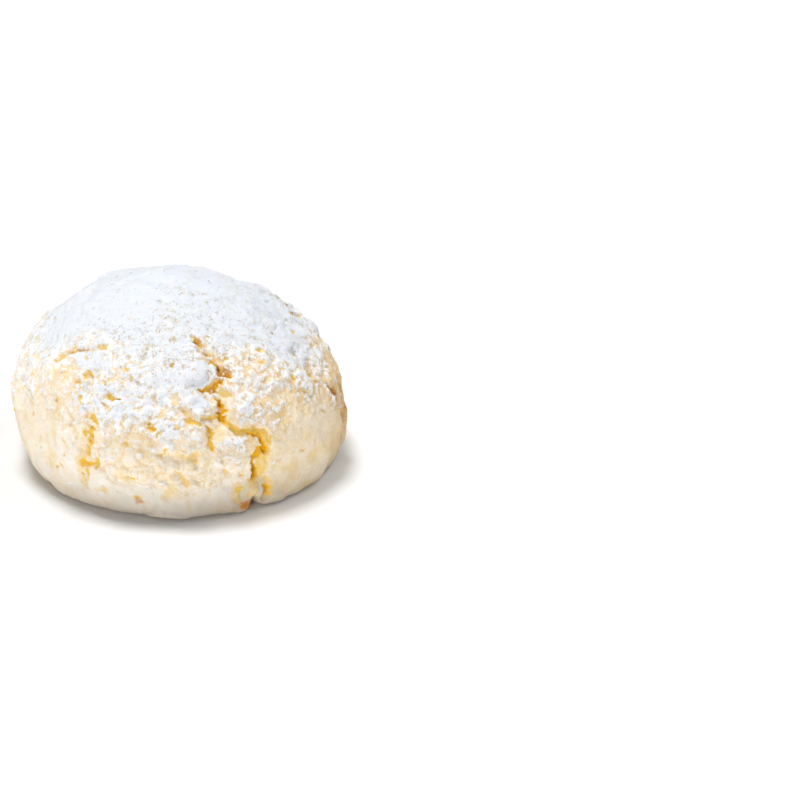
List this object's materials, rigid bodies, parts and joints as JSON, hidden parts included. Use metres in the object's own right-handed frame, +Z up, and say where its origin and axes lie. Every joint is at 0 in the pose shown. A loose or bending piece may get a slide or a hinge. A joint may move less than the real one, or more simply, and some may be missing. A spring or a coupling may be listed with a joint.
{
  "type": "soft amaretti cookie",
  "caption": "Round domed soft almond cookie with a cracked, crumbly crust under icing sugar and a flat base that it rests on.",
  "frame": {"origin": "middle of the flat base, on the surface that the cookie rests on", "axes": "+Z up through the crown, -Y towards the front with the widest crack, +X to the right as seen from the front"},
  "size_m": [0.0454, 0.0449, 0.0261],
  "materials": {
    "almond_crust": "soft baked almond dough, pale cream, golden in the cracks",
    "icing_sugar": "dry white sugar dust, matte"
  },
  "bodies": {
    "root": {"cookie": "almond_crust"}
  },
  "joints": []
}
